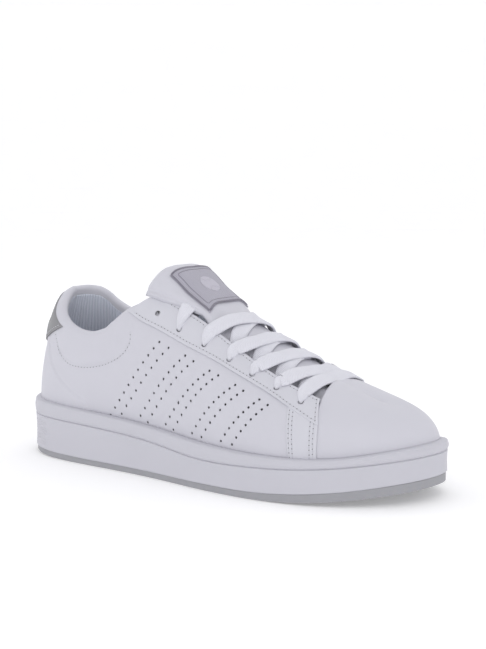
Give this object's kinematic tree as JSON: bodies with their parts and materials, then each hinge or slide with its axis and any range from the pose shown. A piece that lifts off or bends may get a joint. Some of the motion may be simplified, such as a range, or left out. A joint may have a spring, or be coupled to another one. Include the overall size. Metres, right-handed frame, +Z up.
{
  "type": "court shoe",
  "caption": "Low-cut court shoe with a flat-bottomed cupsole, layered leather upper, padded collar, flat lace and a tongue whose tip flexes.",
  "frame": {"origin": "on the ground under the middle of the shoe's length and width", "axes": "+X from heel to toe, +Y to the inner (medial) side, +Z up"},
  "size_m": [0.2995, 0.1082, 0.1285],
  "materials": {
    "outsole_rubber": "matte, fine tread",
    "cup_rubber": "satin moulded rubber",
    "foam": "open foam, hidden",
    "board": "woven lasting board",
    "stiffener": "hidden stiffener sheet",
    "lining_mesh": "ribbed knit mesh",
    "tab_leather": "smooth grey synthetic leather",
    "badge_fabric": "woven patch with stitched border",
    "lace_weave": "flat woven polyester",
    "aglet_plastic": "clear-coated tip",
    "tongue_leather": "soft padded leather",
    "overlay_leather": "coated leather, stitched",
    "upper_leather": "coated leather, perforated side"
  },
  "bodies": {
    "shoe": {"aglet_inner": "aglet_plastic", "aglet_outer": "aglet_plastic", "collar_foam": "foam", "collar_lining": "lining_mesh", "cupsole": "cup_rubber", "heel_counter": "stiffener", "heel_lining": "lining_mesh", "heel_tab": "tab_leather", "inner_eyestay": "overlay_leather", "inner_front_strip": "overlay_leather", "inner_lining": "lining_mesh", "inner_quarter": "upper_leather", "lace_cross_2_inner": "lace_weave", "lace_cross_2_outer": "lace_weave", "lace_cross_3_inner": "lace_weave", "lace_cross_3_outer": "lace_weave", "lace_cross_4_inner": "lace_weave", "lace_cross_4_outer": "lace_weave", "lace_cross_5_inner": "lace_weave", "lace_cross_5_outer": "lace_weave", "lace_end_inner": "lace_weave", "lace_end_outer": "lace_weave", "lace_run_inner": "lace_weave", "lace_run_outer": "lace_weave", "lace_toe_bar": "lace_weave", "lace_turns_inner": "lace_weave", "lace_turns_outer": "lace_weave", "midsole_foam": "foam", "outer_eyestay": "overlay_leather", "outer_front_strip": "overlay_leather", "outer_lining": "lining_mesh", "outer_quarter": "upper_leather", "outsole": "outsole_rubber", "sockliner": "lining_mesh", "strobel_board": "board", "toe_puff": "stiffener", "tongue_lower": "tongue_leather", "vamp": "upper_leather", "vamp_lining": "lining_mesh"},
    "tongue_tip": {"tongue_top": "tongue_leather", "tongue_badge": "badge_fabric"}
  },
  "joints": [
    {"name": "tongue_flex", "type": "hinge", "parent": "shoe", "child": "tongue_tip", "pos_m": [0.0074, 0.00185, 0.1049], "axis": [0, 1, 0], "range_deg": [0, 35], "stiffness_Nm_per_rad": 0.05}
  ]
}
